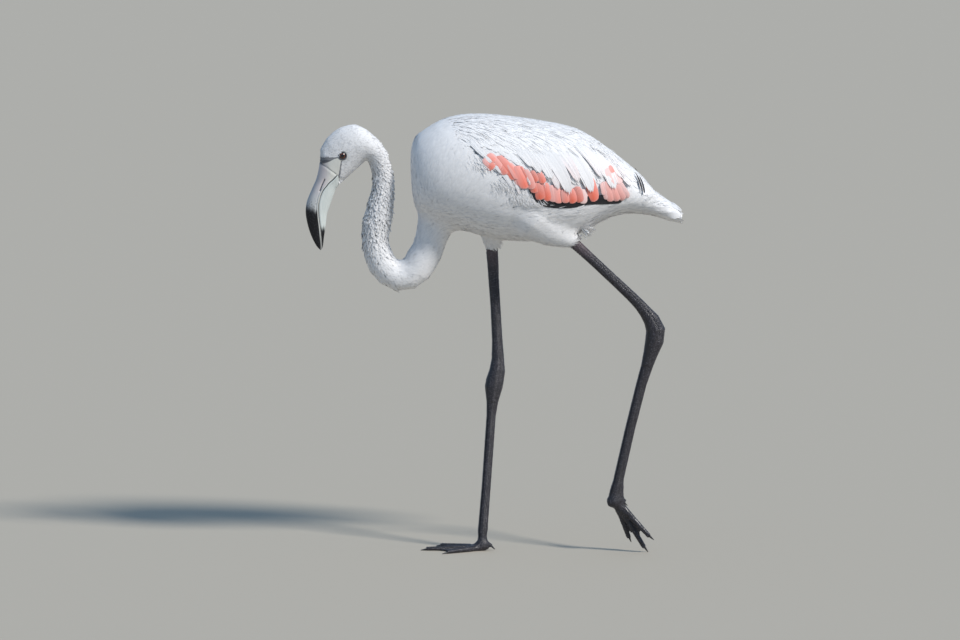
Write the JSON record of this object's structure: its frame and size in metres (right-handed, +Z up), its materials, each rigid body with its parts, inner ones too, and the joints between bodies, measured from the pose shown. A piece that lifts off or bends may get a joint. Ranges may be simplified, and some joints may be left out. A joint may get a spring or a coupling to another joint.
{
  "type": "greater flamingo, young bird, still model",
  "caption": "Life-size young flamingo wading with its head lowered on an S-curved neck, one leg planted and the other trailing on its toe tip.",
  "frame": {"origin": "on the floor, under the middle of the bird's length and width", "axes": "+Z up, -X the way the bird faces, -Y its left side"},
  "size_m": [0.615, 0.2, 0.7227],
  "materials": {
    "plumage": "matt white body feathers, silky on the breast, ruffled on the neck",
    "coverts": "matt coral pink wing coverts with paler edges",
    "quills": "black flight feathers with a slight gloss",
    "bill": "satin horn, pale grey with a black tip",
    "eye": "wet gloss, brown iris and black pupil",
    "leg_skin": "dark grey scaly skin with a low sheen",
    "claws": "satin black horn"
  },
  "bodies": {
    "root": {"head": "plumage", "upper_bill": "bill", "lower_bill": "bill", "eye_left": "eye", "eye_right": "eye", "neck_upper": "plumage", "neck_middle": "plumage", "neck_lower": "plumage", "trunk": "plumage", "tail": "plumage", "wing_left": "coverts", "wing_right": "coverts", "thigh_left": "plumage", "shin_left": "leg_skin", "ankle_left": "leg_skin", "tarsus_left": "leg_skin", "foot_left": "leg_skin", "claw_left_middle": "claws", "claw_left_inner": "claws", "claw_left_outer": "claws", "claw_left_hind": "claws", "thigh_right": "plumage", "shin_right": "leg_skin", "ankle_right": "leg_skin", "tarsus_right": "leg_skin", "foot_right": "leg_skin", "claw_right_middle": "claws", "claw_right_inner": "claws", "claw_right_outer": "claws", "claw_right_hind": "claws"}
  },
  "joints": []
}
